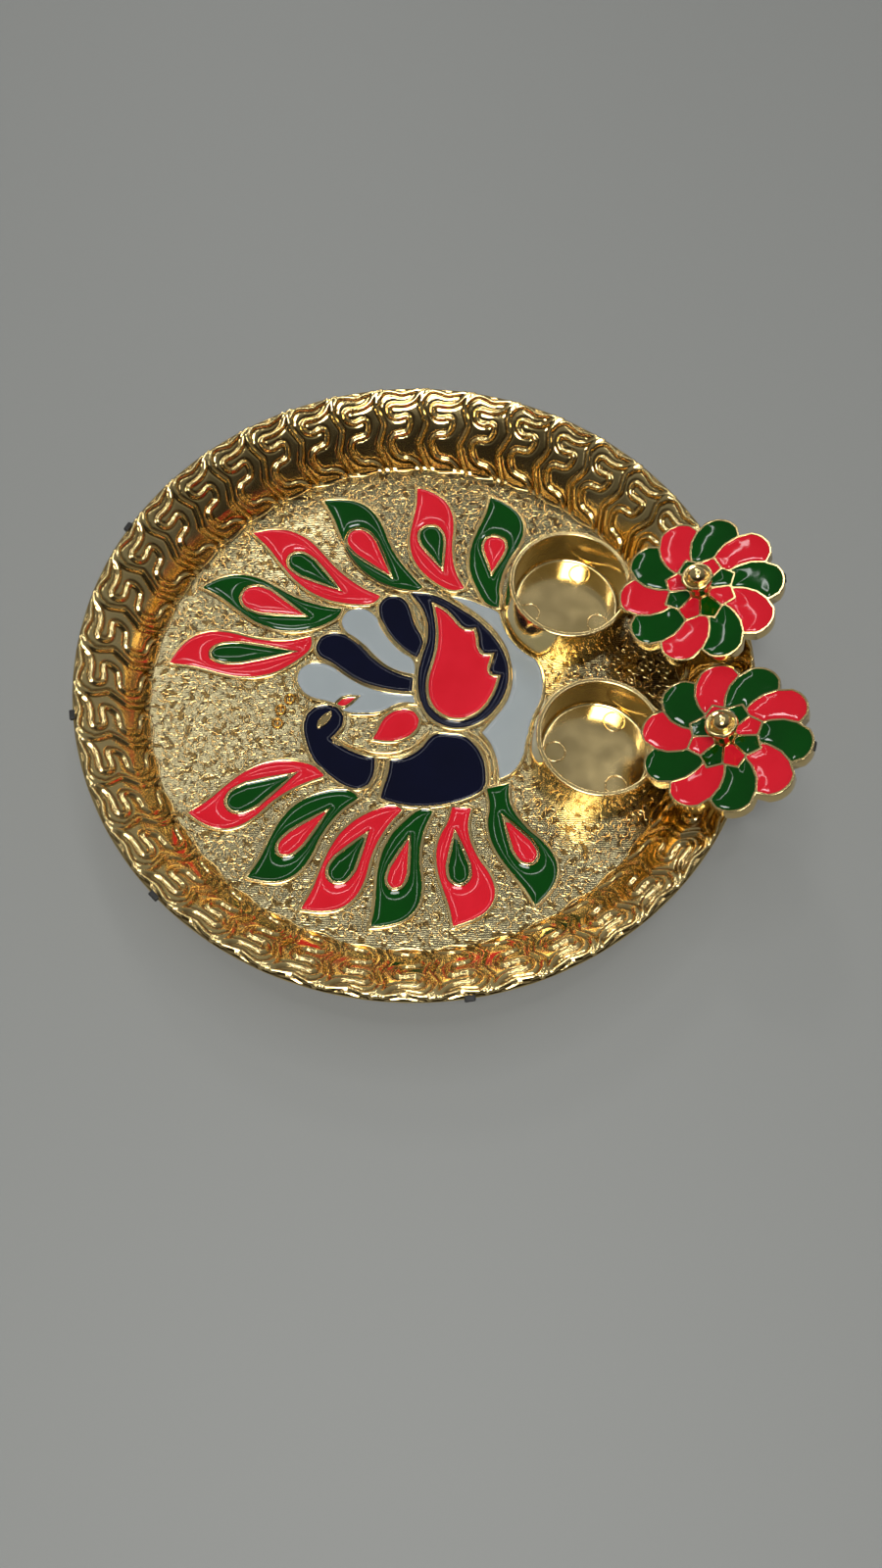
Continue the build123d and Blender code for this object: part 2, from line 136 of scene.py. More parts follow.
def pouredEnamel(name, look):
    # resin enamel poured into a cell: glassy, a little uneven in tone, with faint waves
    material, tree, shader = newMaterial(name)
    place = addNode(tree, "ShaderNodeTexCoord").outputs["Object"]
    cloud = addNode(tree, "ShaderNodeTexNoise", {"Scale": 1 / (look["cloud"] * mm), "Detail": 3.0},
                    {"Vector": place})
    tint = addNode(tree, "ShaderNodeMix", {"data_type": "RGBA", 6: linear(look["dark"]), 7: linear(look["light"])},
                   {0: cloud.outputs["Fac"]})
    wave = addNode(tree, "ShaderNodeTexNoise", {"Scale": 1 / (look["wave"] * mm), "Detail": 1.0},
                   {"Vector": place})
    bump = addNode(tree, "ShaderNodeBump", {"Strength": enamelGloss["waveStrength"],
                                            "Distance": enamelGloss["waveDepth"] * mm},
                   {"Height": wave.outputs["Fac"]})
    shader.inputs["Roughness"].default_value = enamelGloss["rough"]
    shader.inputs["Specular IOR Level"].default_value = enamelGloss["specular"]
    tree.links.new(tint.outputs[2], shader.inputs["Base Color"])
    tree.links.new(bump.outputs["Normal"], shader.inputs["Normal"])
    return material


# the hollow colour is a painted amber shade for the rim relief's ditches and the foot of its wall
plating = {"hollow": "#8A5F1E", "smear": 9.0, "wave": 5.0, "waveStrength": 0.2, "waveDepth": 0.1}
polishedGold = goldPlate("gold-plated ABS, polished", {
    **plating, "dark": "#E2C482", "light": "#EED69A", "rough": (0.1, 0.2)})
# dark and light follow the hatch grooves and crests as painted shade; the pits' amber is painted shade too
floorGold = chasedGold("gold-plated ABS, chased", {
    "dark": "#7A6B44", "light": "#BEB48F", "paintedShade": "#725B32", "rough": 0.16, "hatch": 0.55, "hatchDepth": 0.04,
    "pit": 2.2, "pitDepth": 0.07})
amberGold = goldPlate("gold-plated ABS, lacquered amber", {
    **plating, "dark": "#B98634", "light": "#D0A04C", "rough": (0.12, 0.22)})
enamels = {
    "red_enamel": pouredEnamel("resin enamel, red", {
        "dark": "#C4101E", "light": "#DA2232", "cloud": 12.0, "wave": 3.0}),
    "green_enamel": pouredEnamel("resin enamel, green", {
        "dark": "#003202", "light": "#004605", "cloud": 12.0, "wave": 3.0}),
    "blue_enamel": pouredEnamel("resin enamel, navy", {
        "dark": "#010214", "light": "#040722", "cloud": 12.0, "wave": 3.0}),
    "white_enamel": pouredEnamel("resin enamel, white", {
        "dark": "#929A9B", "light": "#A0A7A8", "cloud": 14.0, "wave": 4.0}),
}
bareAbs, bareTree, bareShader = newMaterial("black ABS, torn at the gate")  # dull, rough stubs
barePlace = addNode(bareTree, "ShaderNodeTexCoord").outputs["Object"]
bareLook = {"colour": "#15130F", "rough": 0.55, "grain": 0.5, "grainStrength": 0.8, "grainDepth": 0.2}
bareNoise = addNode(bareTree, "ShaderNodeTexNoise", {"Scale": 1 / (bareLook["grain"] * mm)},
                    {"Vector": barePlace})
bareBump = addNode(bareTree, "ShaderNodeBump", {"Strength": bareLook["grainStrength"],
                                                "Distance": bareLook["grainDepth"] * mm},
                   {"Height": bareNoise.outputs["Fac"]})
bareShader.inputs["Base Color"].default_value = linear(bareLook["colour"])
bareShader.inputs["Roughness"].default_value = bareLook["rough"]
bareTree.links.new(bareBump.outputs["Normal"], bareShader.inputs["Normal"])
print("materials made:", len(bpy.data.materials))


# helpers for shapes
weld = 1e-6  # points closer than this are one point
capDepth = 0.05 * mm  # faces this near a level lie in it
flatNormal = 0.999  # upright part of the normal of a face that counts as flat
outlineLimits = {"miter": 1.7, "leastTurn": 0.2, "cornerShare": 0.4, "bulge": 0.6, "rimStep": 0.15}


def addPiece(name, mesh, materials, body, nodes=()):
    piece = bpy.data.objects.new(name, mesh)
    scene.collection.objects.link(piece)
    for material in materials:
        mesh.materials.append(material)
    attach(piece, body)
    if nodes:
        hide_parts(*nodes)
    return piece


def polar(radius, angle, height=0.0):
    return Vector((radius * cos(radians(angle)), radius * sin(radians(angle)), height))


def capLoops(node, toLocal=Matrix.Identity(4)):
    # edge loops round the top faces of a node, as flat points
    shape = bmesh.new()
    shape.from_mesh(frame["nodes"][node].data)
    shape.transform(toLocal)
    bmesh.ops.remove_doubles(shape, verts=shape.verts, dist=weld)
    top = max(v.co.z for v in shape.verts)
    caps = {f for f in shape.faces if min(v.co.z for v in f.verts) > top - capDepth}
    rim = [e for f in caps for e in f.edges if sum(g in caps for g in e.link_faces) == 1]
    nextTo = {}
    for e in rim:
        for a, b in (e.verts, reversed(e.verts)):
            nextTo.setdefault(a, []).append(b)
    loops, seen = [], set()
    for start in sorted(nextTo, key=lambda v: v.index):
        if start in seen:
            continue
        loop, here, last = [], start, None
        while here not in seen:
            seen.add(here)
            loop.append(here.co.xy.copy())
            step = [v for v in nextTo[here] if v is not last]
            last, here = here, step[0]
        loops.append(loop)
    shape.free()
    return loops, top


def signedArea(loop):
    # positive for a loop that runs anticlockwise
    return sum(a.x * b.y - b.x * a.y for a, b in zip(loop, loop[1:] + loop[:1])) / 2


def turnAt(loop, k):
    # degrees that the loop turns at a point
    return degrees((loop[k] - loop[k - 1]).angle(loop[(k + 1) % len(loop)] - loop[k], 0))


def grown(loop, width):
    # the loop moved outward by a width, or inward by a negative one
    side = 1 if signedArea(loop) > 0 else -1
    moved = []
    for k, p in enumerate(loop):
        d, e = (p - loop[k - 1]).normalized(), (loop[(k + 1) % len(loop)] - p).normalized()
        n = Vector((d.y + e.y, -d.x - e.x))
        stretch = min(2 / max(n.length, outlineLimits["leastTurn"]), outlineLimits["miter"])
        moved.append(p + n.normalized() * side * width * stretch)
    return moved


def softened(loop, cut, turns=(38, 180)):
    # each corner within the range of turns becomes two points, which the smooth outline then rounds
    out = []
    for k, p in enumerate(loop):
        if not turns[0] < turnAt(loop, k) < turns[1]:
            out.append(p)
            continue
        for q in (loop[k - 1], loop[(k + 1) % len(loop)]):
            out.append(p + (q - p).normalized() * min(cut, (q - p).length * outlineLimits["cornerShare"]))
    return out


def outlineCurve(loops, resolution):
    curve = bpy.data.curves.new("outline", "CURVE")
    curve.dimensions, curve.fill_mode, curve.resolution_u = "2D", "BOTH", resolution
    for loop in loops:
        spline = curve.splines.new("BEZIER")
        spline.bezier_points.add(len(loop) - 1)
        spline.use_cyclic_u = True
        for k, (knot, p) in enumerate(zip(spline.bezier_points, loop)):
            reach = max((p - loop[k - 1]).length, (loop[(k + 1) % len(loop)] - p).length)
            bulge = reach * sin(radians(turnAt(loop, k) / 2))  # how far a smooth knot would swell here
            sharp = bulge > outlineLimits["bulge"] * mm
            knot.co = (p.x, p.y, 0)
            knot.handle_left_type = knot.handle_right_type = "VECTOR" if sharp else "AUTO"
    return curve


def lineCurve(lines, halfWidth, resolution=3, sides=2, closed=False):
    curve = bpy.data.curves.new("lines", "CURVE")
    curve.dimensions, curve.fill_mode, curve.resolution_u = "3D", "FULL", resolution
    curve.bevel_depth, curve.bevel_resolution, curve.use_fill_caps = halfWidth, sides, True
    for line in lines:
        spline = curve.splines.new("BEZIER")
        spline.bezier_points.add(len(line) - 1)
        spline.use_cyclic_u = closed
        for knot, p in zip(spline.bezier_points, line):
            knot.co = p
            knot.handle_left_type = knot.handle_right_type = "AUTO"
    return curve


def curveMesh(curve, smooth=False):
    holder = bpy.data.objects.new("holder", curve)
    scene.collection.objects.link(holder)
    bpy.context.view_layer.update()
    mesh = bpy.data.meshes.new_from_object(holder.evaluated_get(bpy.context.evaluated_depsgraph_get()))
    bpy.data.objects.remove(holder)
    bpy.data.curves.remove(curve)
    for polygon in mesh.polygons:
        polygon.use_smooth = smooth
    return mesh


def ridgeMesh(loops, low, high, rounding, resolution=4, sides=3):
    # a flat ring or plate between two heights with rounded edges
    curve = outlineCurve(loops, resolution)
    curve.bevel_depth, curve.bevel_resolution, curve.offset = rounding, sides, -rounding
    curve.extrude = (high - low) / 2 - rounding
    mesh = curveMesh(curve)
    mesh.transform(Matrix.Translation((0, 0, (low + high) / 2)))
    for polygon in mesh.polygons:
        polygon.use_smooth = abs(polygon.normal.z) < flatNormal
    return mesh


def pointTree(points):
    tree = KDTree(len(points))
    for k, p in enumerate(points):
        tree.insert(p, k)
    tree.balance()
    return tree


def finished(shape, name):
    mesh = bpy.data.meshes.new(name)
    shape.to_mesh(mesh)
    shape.free()
    return mesh


def padMesh(loops, low, high, look):
    # enamel that creeps up its walls and lies a little lower in the middle
    mesh = curveMesh(outlineCurve(loops, look["resolution"]))
    shape = bmesh.new()
    shape.from_mesh(mesh)
    bpy.data.meshes.remove(mesh)
    bmesh.ops.remove_doubles(shape, verts=shape.verts, dist=weld / 10)
    rimPoints = []
    for a, b in (e.verts for e in shape.edges if e.is_boundary):
        count = int((b.co - a.co).length / (outlineLimits["rimStep"] * mm)) + 1
        rimPoints += [a.co.lerp(b.co, k / count) for k in range(count)]
    for axis in (Vector((1, 0, 0)), Vector((0, 1, 0))):
        near = min(v.co.dot(axis) for v in shape.verts)
        far = max(v.co.dot(axis) for v in shape.verts)
        for k in range(1, int((far - near) / look["grid"]) + 1):
            bmesh.ops.bisect_plane(shape, geom=shape.verts[:] + shape.edges[:] + shape.faces[:],
                                   plane_co=axis * (near + k * look["grid"]), plane_no=axis)
    tree = pointTree(rimPoints)
    for v in shape.verts:
        gap = tree.find(v.co)[2]
        v.co.z = high - look["sag"] * (1 - exp(-gap / look["creep"]))
    for face in shape.faces:
        if face.normal.z < 0:
            face.normal_flip()
        face.smooth = True
    rim = [e for e in shape.edges if e.is_boundary]
    sides = bmesh.ops.extrude_edge_only(shape, edges=rim)
    for e in rim:
        e.smooth = False  # else the side would spoil the shine of the creep
    for v in (g for g in sides["geom"] if isinstance(g, bmesh.types.BMVert)):
        v.co.z = low
    return finished(shape, "pad")


def joined(meshes):
    shape = bmesh.new()
    for mesh in meshes:
        shape.from_mesh(mesh)
        bpy.data.meshes.remove(mesh)
    return finished(shape, "whole")


def spunMesh(profile, steps):
    # a closed skin from profile points (radius, height)
    shape = bmesh.new()
    verts = [shape.verts.new((r, 0, z)) for r, z in profile]
    edges = [shape.edges.new(pair) for pair in zip(verts, verts[1:])]
    bmesh.ops.spin(shape, geom=verts + edges, cent=(0, 0, 0), axis=(0, 0, 1), angle=radians(360),
                   steps=steps, use_merge=True)
    bmesh.ops.remove_doubles(shape, verts=shape.verts, dist=weld / 10)
    bmesh.ops.recalc_face_normals(shape, faces=shape.faces[:])
    mesh = finished(shape, "spun")
    for polygon in mesh.polygons:
        polygon.use_smooth = abs(polygon.normal.z) < flatNormal
    return mesh


def rounded(points, radii, steps=5):
    # profile with its inner corners rounded off
    out = [Vector(points[0])]
    for k in range(1, len(points) - 1):
        p, a, b = Vector(points[k]), Vector(points[k - 1]), Vector(points[k + 1])
        r = radii[k - 1]
        if r == 0:
            out.append(p)
            continue
        start, end = p + (a - p).normalized() * r, p + (b - p).normalized() * r
        for j in range(steps + 1):
            t = j / steps
            out.append(start * (1 - t) ** 2 + p * 2 * t * (1 - t) + end * t ** 2)
    out.append(Vector(points[-1]))
    return [(v.x, v.y) for v in out]


# tray shell
traySizes = {"radius": 87.5, "floorRadius": 71.7, "floorTop": 2.0, "rimTop": 19.5, "lip": 1.4, "bulge": 1.6,
             "wall": 1.8, "reliefBed": 0.7, "footRadius": 72.6, "footRise": 0.3, "footRound": 0.4, "arcSteps": 16,
             "steps": 246,
             "roll": ((86.35, 19.36), (86.75, 19.2), (87.05, 18.95), (87.28, 18.6), (87.3, 18.2))}
floorTop = traySizes["floorTop"] * mm
innerLow = Vector((traySizes["floorRadius"], traySizes["floorTop"])) * mm
innerHigh = Vector((traySizes["radius"] - traySizes["lip"], traySizes["rimTop"])) * mm
chord = innerHigh - innerLow
chordSide = Vector((-chord.y, chord.x)).normalized()
bulge = traySizes["bulge"] * mm
arcRadius = (chord.length ** 2 / 4 + bulge ** 2) / (2 * bulge)
arcCentre = (innerLow + innerHigh) / 2 + chordSide * (bulge - arcRadius)


def wallPath(sizes):
    # the rim's section from the floor up its wall and over the rolled edge
    path = []
    for k in range(sizes["arcSteps"]):
        r = innerLow.x + (innerHigh.x - innerLow.x) * k / sizes["arcSteps"]
        z = arcCentre.y + sqrt(arcRadius ** 2 - (r - arcCentre.x) ** 2)
        path.append(Vector((r, max(z, innerLow.y))))
    return path + [Vector(p) * mm for p in sizes["roll"]]


rimPath = wallPath(traySizes)


def trayMesh(sizes):
    inner = rimPath[:sizes["arcSteps"]]
    outer = [p - chordSide * sizes["wall"] * mm for p in inner[1:]]
    under = [p - chordSide * sizes["reliefBed"] * mm for p in inner[1:]]  # hidden below the relief
    foot = sizes["footRadius"] * mm
    profile = [Vector((0, innerLow.y)), inner[0]] + under + [rimPath[-1]] + outer[::-1]
    profile += [Vector((foot, sizes["footRise"] * mm)), Vector((foot - sizes["footRound"] * mm, 0))]
    profile.append(Vector((0, 0)))
    mesh = spunMesh([(p.x, p.y) for p in profile], sizes["steps"])
    for polygon in mesh.polygons:
        onFloor = abs(polygon.normal.z) > flatNormal and abs(polygon.center.z - innerLow.y) < capDepth
        polygon.material_index = 1 if onFloor else 0
    return mesh


tray = addPiece("trayShell", trayMesh(traySizes), [polishedGold, floorGold], "tray", ["tray"])
print("tray spun:", len(tray.data.polygons), "faces")

# scroll relief on the rim: the ridges of one repeat as (degrees, radius in mm), each with a ditch at both sides;
# the ditches and the low wall get a painted amber shade
rimRelief = {
    "repeats": 41, "start": 64.5, "columns": 42, "rows": 76, "ridge": 0.74, "height": 0.6, "ditchAt": 0.92,
    "ditch": 0.4, "ditchDepth": 0.26, "lift": -0.2, "sample": 0.15, "ditchShade": 0.75, "lowShade": 0.5,
    "lowShare": 0.3, "fadeLow": 0.03, "fadeHigh": 0.04,
    "lines": [
        [(-1.2, 86.6), (-0.5, 86.0), (0.1, 84.5), (0.2, 82.5), (-0.5, 80.5), (-0.9, 79.3), (-0.3, 77.5),
         (0.5, 75.7), (-0.1, 74.0), (-1.3, 72.3), (-2.0, 71.7)],
        [(-0.3, 86.4), (0.5, 85.2), (1.5, 83.8), (3.0, 83.0), (4.5, 82.9), (5.7, 83.0), (6.6, 82.5), (6.6, 81.3),
         (5.8, 80.4), (4.5, 80.3), (3.3, 80.6), (2.5, 80.2), (2.4, 79.0), (3.0, 77.8), (4.0, 77.4), (5.5, 77.2),
         (6.5, 76.4), (6.5, 75.2), (5.7, 73.9), (4.5, 73.4), (2.5, 73.2), (1.0, 72.6), (0.0, 71.8)],
        [(0.5, 86.4), (1.0, 86.1), (2.5, 85.6), (3.8, 85.2), (5.0, 85.6), (6.5, 86.0), (7.5, 85.6), (8.4, 84.5),
         (8.7, 83.5)],
    ],
}


def onPath(share, path):
    # point and outward normal at a share of a path's length
    lengths = [(b - a).length for a, b in zip(path, path[1:])]
    left = share * sum(lengths)
    for a, b, length in zip(path, path[1:], lengths):
        if left <= length or b is path[-1]:
            along = (b - a).normalized()
            return a + along * min(left, length), Vector((-along.y, along.x))
        left -= length


def smoothLine(points, spacing):
    # a curve through the points, in even steps
    out = []
    ends = [points[0] * 2 - points[1]] + points + [points[-1] * 2 - points[-2]]
    for a, b, c, d in zip(ends, ends[1:], ends[2:], ends[3:]):
        count = int((c - b).length / spacing) + 1
        for k in range(count):
            t = k / count
            out.append((b * 2 + (c - a) * t + (a * 2 - b * 5 + c * 4 - d) * t ** 2
                        + (b * 3 - a - c * 3 + d) * t ** 3) / 2)
    return out + [points[-1]]


def wallPoint(angle, radius):
    near = min(range(len(rimPath) - 1), key=lambda k: abs((rimPath[k] + rimPath[k + 1]).x / 2 - radius))
    a, b = rimPath[near], rimPath[near + 1]
    share = (radius - a.x) / (b.x - a.x)
    return polar(radius, angle, a.y + (b.y - a.y) * share)


def reliefMesh(look, first, count):
    period = 360 / look["repeats"]
    samples = []
    for line in look["lines"]:
        for shift in (-period, 0, period):
            samples += smoothLine([wallPoint(a + shift, r * mm) for a, r in line], look["sample"] * mm)
    tree = pointTree(samples)
    shape = bmesh.new()
    bmesh.ops.create_grid(shape, x_segments=look["columns"], y_segments=look["rows"], size=1.0)
    hollow = shape.verts.layers.float.new("hollow")
    for v in shape.verts:
        angle, share = (v.co.x + 1) / 2 * period, (v.co.y + 1) / 2
        place, normal = onPath(share, rimPath)
        gap = tree.find(polar(place.x, angle, place.y))[2] / mm
        crest = (1 + cos(radians(180) * min(gap / look["ridge"], 1))) / 2
        ditch = (1 + cos(radians(180) * min(abs(gap - look["ditchAt"]) / look["ditch"], 1))) / 2
        height = look["lift"] + look["height"] * crest - look["ditchDepth"] * ditch
        floorShade = max(0, 1 - share / look["lowShare"]) * (1 - crest)  # painted shade, darker amber low on the wall near the floor, away from the ridges
        # painted shade: this mask tints the ditches and the wall's foot amber
        v[hollow] = min(1, look["ditchShade"] * ditch + look["lowShade"] * floorShade)
        fade = min(1, share / look["fadeLow"], (1 - share) / look["fadeHigh"])
        place = place + normal * height * mm * fade
        v.co = polar(place.x, look["start"] + first * period + angle, place.y)
    for face in shape.faces:
        face.smooth = True
    bmesh.ops.spin(shape, geom=shape.verts[:] + shape.edges[:] + shape.faces[:], cent=(0, 0, 0), axis=(0, 0, 1),
                   angle=radians(period * (count - 1)), steps=count - 1, use_duplicate=True)
    bmesh.ops.remove_doubles(shape, verts=shape.verts, dist=weld)
    bmesh.ops.recalc_face_normals(shape, faces=shape.faces[:])
    return finished(shape, "relief")


half = rimRelief["repeats"] // 2
for number, (first, count) in enumerate(((0, half), (half, rimRelief["repeats"] - half)), start=1):
    relief = reliefMesh(rimRelief, first, count)
    addPiece(f"rimRelief{number}", relief, [polishedGold], "tray")
    print("rim relief:", len(relief.polygons), "faces")

# wavy bead where the rim meets the floor
floorBead = {"waves": 41, "radius": 71.6, "swing": 0.45, "wobbles": 13, "wobble": 0.2, "halfWidth": 0.32,
             "start": 62.0}
beadLine = []
for k in range(4 * floorBead["waves"]):
    angle = 90 * k / floorBead["waves"]
    swing = floorBead["swing"] * sin(radians(90 * k))
    swing += floorBead["wobble"] * sin(radians(floorBead["wobbles"] * angle))
    beadLine.append(polar((floorBead["radius"] + swing) * mm, floorBead["start"] + angle, floorTop))
beadCurve = lineCurve([beadLine], floorBead["halfWidth"] * mm, resolution=2, sides=1, closed=True)
addPiece("floorBead", curveMesh(beadCurve, smooth=True), [polishedGold], "tray")

# enamel and its raised walls on the floor
cell = {"wall": 0.9 * mm, "rounding": 0.28 * mm, "wallTop": 2.62 * mm, "sunk": 0.15 * mm, "overlap": 0.06 * mm,
        "edgeCuts": ((1.3 * mm, (16, 70)), (0.6 * mm, (9, 70))),
        "eyeCuts": ((0.9 * mm, (34, 82)), (0.45 * mm, (22, 82)))}
padLook = {"resolution": 10, "grid": 0.36 * mm, "sag": 0.48 * mm, "creep": 1.35 * mm, "lift": 0.03 * mm}
birdLook = {**padLook, "sag": 0.3 * mm, "creep": 0.5 * mm}  # poured fuller than the feathers
slots = {part["node"]: part["material_slot"] for part in frame["record"]["subparts"]}
floorNodes = sorted(n for n in frame["nodes"] if n.endswith("_enamel"))
wallParts, floorLoops = [], []
for node in floorNodes:
    loops, top = capLoops(node)
    loops.sort(key=lambda loop: -abs(signedArea(loop)))
    for k, loop in enumerate(loops):  # the eyes, and the holes that hold them, are rounder
        for cut, turns in cell["eyeCuts" if k > 0 or "_eye_" in node else "edgeCuts"]:
            loop = softened(loop, cut, turns)
        loops[k] = loop
    look = padLook if node.startswith("feather") else birdLook
    pad = padMesh(loops, floorTop, top + look["lift"], look)
    addPiece(node.replace("_enamel", "_pad"), pad, [enamels[slots[node]]], "tray", [node])
    outer = loops[0]
    floorLoops.append(grown(outer, cell["wall"]))
    ring = [floorLoops[-1], grown(outer, -cell["overlap"])]
    wallParts.append(ridgeMesh(ring, floorTop - cell["sunk"], cell["wallTop"], cell["rounding"]))
walls = addPiece("cellWalls", joined(wallParts), [polishedGold], "tray")
print("floor enamel pads:", len(floorNodes), "and walls:", len(walls.data.polygons), "faces")

# gold bands on the bird, three ringed dots before its beak and the almond eye
birdGold = {
    "bands": [[(-12.0, -31.0), (-9.4, -27.0), (-8.3, -21.5)],
              [(-21.5, -15.8), (-15.0, -18.6), (-8.0, -19.8), (-2.0, -18.6), (2.0, -15.8), (4.4, -12.6)],
              [(13.8, -12.6), (17.6, -15.2), (20.2, -20.0), (20.8, -27.5)]],
    "bandGap": 0.62, "bandHalf": 0.45, "bandLift": 0.05,
    "dots": [(-34.0, -4.1), (-36.2, -7.4), (-36.7, -11.4)], "dotRadius": 1.25, "dotMiddle": 0.15, "dotHalf": 0.4,
    "dotLift": 0.15, "eyeFrom": (-26.0, -12.5), "eyeTo": (-22.5, -7.7), "eyeHalf": 1.2, "eyePoints": 16,
    "eyeTaper": 0.4, "ringInner": 0.62, "ringTop": 2.72, "ringRounding": 0.15, "plateScale": 0.75,
    "plateTop": 2.56, "plateRounding": 0.02,
}


def bandLines(look):
    lines = []
    for band in look["bands"]:
        points = [Vector(p) * mm for p in band]
        for side in (-1, 1):
            line = []
            for k, p in enumerate(points):
                along = points[min(k + 1, len(points) - 1)] - points[max(k - 1, 0)]
                off = Vector((-along.y, along.x)).normalized() * side * look["bandGap"] * mm
                line.append((*(p + off), floorTop + look["bandLift"] * mm))
            lines.append(line)
    return lines


def almondLoop(look, scale):
    a, b = Vector(look["eyeFrom"]) * mm, Vector(look["eyeTo"]) * mm
    middle, along = (a + b) / 2, (b - a) / 2
    across = Vector((-along.y, along.x)).normalized() * look["eyeHalf"] * mm
    loop = []
    for k in range(look["eyePoints"]):
        angle = radians(360 * k / look["eyePoints"])
        swell = sin(angle) * abs(sin(angle)) ** look["eyeTaper"]
        loop.append(middle + along * cos(angle) * scale + across * scale * swell)
    return loop


dotLines = []
for x, y in birdGold["dots"]:
    spot = Vector((x * mm, y * mm, floorTop + birdGold["dotLift"] * mm))
    dotLines.append([spot + polar(birdGold["dotRadius"] * mm, 45 * k) for k in range(8)])
    dotLines.append([spot + polar(birdGold["dotMiddle"] * mm, 90 * k) for k in range(4)])
dotCurve = lineCurve(dotLines, birdGold["dotHalf"] * mm, closed=True)
addPiece("beakDots", curveMesh(dotCurve, smooth=True), [amberGold], "tray")
bandCurve = lineCurve(bandLines(birdGold), birdGold["bandHalf"] * mm, resolution=6)
eyeRing = ridgeMesh([almondLoop(birdGold, 1.0), almondLoop(birdGold, birdGold["ringInner"])], floorTop,
                    birdGold["ringTop"] * mm, birdGold["ringRounding"] * mm)
eyePlate = ridgeMesh([almondLoop(birdGold, birdGold["plateScale"])], floorTop, birdGold["plateTop"] * mm,
                     birdGold["plateRounding"] * mm)
birdParts = joined([curveMesh(bandCurve, smooth=True), eyeRing, eyePlate])
addPiece("birdGold", birdParts, [polishedGold], "tray")
print("bands, dots and eye set")

# worm-like chasing on the bare floor, laid at random but always alike
chasing = {"seed": 11, "tries": 20000, "spacing": 1.3, "step": 0.7, "points": (2, 5), "halfWidth": 0.25,
           "margin": 1.3, "cupKeep": 17.8, "dotKeep": 2.1, "bend": (10, 62), "flips": 0.35, "sunk": 0.02}
cups = []
for number in (1, 2):
    low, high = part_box(f"cup_{number}")
    cups.append(Vector(((low.x + high.x) / 2, (low.y + high.y) / 2, low.z)))


def insideLoop(p, loop):
    inside = False
    for a, b in zip(loop, loop[1:] + loop[:1]):
        if (a.y > p.y) != (b.y > p.y) and p.x < (b.x - a.x) * (p.y - a.y) / (b.y - a.y) + a.x:
            inside = not inside
    return inside


loopBoxes = []
for loop in floorLoops:
    across, along = [p.x for p in loop], [p.y for p in loop]
    loopBoxes.append((min(across), max(across), min(along), max(along), loop))


def isBare(p):
    if p.length > innerLow.x - chasing["margin"] * mm:
        return False
    if any((p - c.xy).length < chasing["cupKeep"] * mm for c in cups):
        return False
    if any((p - Vector(dot) * mm).length < chasing["dotKeep"] * mm for dot in birdGold["dots"]):
        return False
    return not any(x0 < p.x < x1 and y0 < p.y < y1 and insideLoop(p, q) for x0, x1, y0, y1, q in loopBoxes)


def chasingLines(look):
    chance = random.Random(look["seed"])
    taken, lines = {}, []
    size = look["spacing"] * mm
    for _ in range(look["tries"]):
        here = polar(innerLow.x * sqrt(chance.random()), 360 * chance.random()).xy
        heading, bend = 360 * chance.random(), chance.choice((-1, 1)) * chance.uniform(*look["bend"])
        flip = chance.random() < look["flips"]
        line = [here]
        for k in range(chance.randint(*look["points"])):
            line.append(line[-1] + polar(look["step"] * mm, heading).xy)
            heading += -bend if flip and k > 1 else bend
        middle = line[len(line) // 2]
        home = (int(middle.x // size), int(middle.y // size))
        close = [q for i in (-1, 0, 1) for j in (-1, 0, 1) for q in taken.get((home[0] + i, home[1] + j), [])]
        if any((q - middle).length < size for q in close) or not all(isBare(p) for p in line):
            continue
        taken.setdefault(home, []).append(middle)
        lines.append([(p.x, p.y, floorTop - look["sunk"] * mm) for p in line])
    return lines


worms = chasingLines(chasing)
wormMesh = curveMesh(lineCurve(worms, chasing["halfWidth"] * mm, resolution=2, sides=0), smooth=True)
addPiece("floorChasing", wormMesh, [polishedGold], "tray")
print("floor chasing:", len(worms), "curls,", len(wormMesh.polygons), "faces")

# cups
cupSizes = {"height": 14.0, "base": 17.2, "rim": 16.4, "rimWidth": 1.4, "floorRadius": 14.4, "floorHeight": 2.8,
            "footWidth": 2.2, "recess": 1.2, "radii": (0, 0.2, 0.2, 0.4, 0.4, 0.9), "steps": 128,
            "markRadius": 2.75, "markHalf": 0.24, "markPlace": 10.5,
            "markAngles": ((68, 197, 326), (60, 180, 300))}


def cupMesh(sizes, centre, markAngles):
    mouth = sizes["rim"] - sizes["rimWidth"]
    foot = sizes["base"] - sizes["footWidth"]
    points = [(0, sizes["recess"]), (foot, sizes["recess"]), (foot, 0), (sizes["base"], 0),
              (sizes["rim"], sizes["height"]), (mouth, sizes["height"]),
              (sizes["floorRadius"], sizes["floorHeight"]), (0, sizes["floorHeight"])]
    profile = rounded(points, sizes["radii"])
    marks = []  # round ejector marks on the cup's floor
    for angle in markAngles:
        spot = polar(sizes["markPlace"], angle, sizes["floorHeight"])
        marks.append([(spot + polar(sizes["markRadius"], 30 * k)) * mm for k in range(12)])
    cup = spunMesh([(r * mm, z * mm) for r, z in profile], sizes["steps"])
    markCurve = lineCurve(marks, sizes["markHalf"] * mm, sides=1, closed=True)
    mesh = joined([cup, curveMesh(markCurve, smooth=True)])
    mesh.transform(Matrix.Translation(centre))
    return mesh


for number, centre in enumerate(cups, start=1):
    mesh = cupMesh(cupSizes, centre, cupSizes["markAngles"][number - 1])
    addPiece(f"cup{number}", mesh, [polishedGold], "tray", [f"cup_{number}"])
print("cups made")

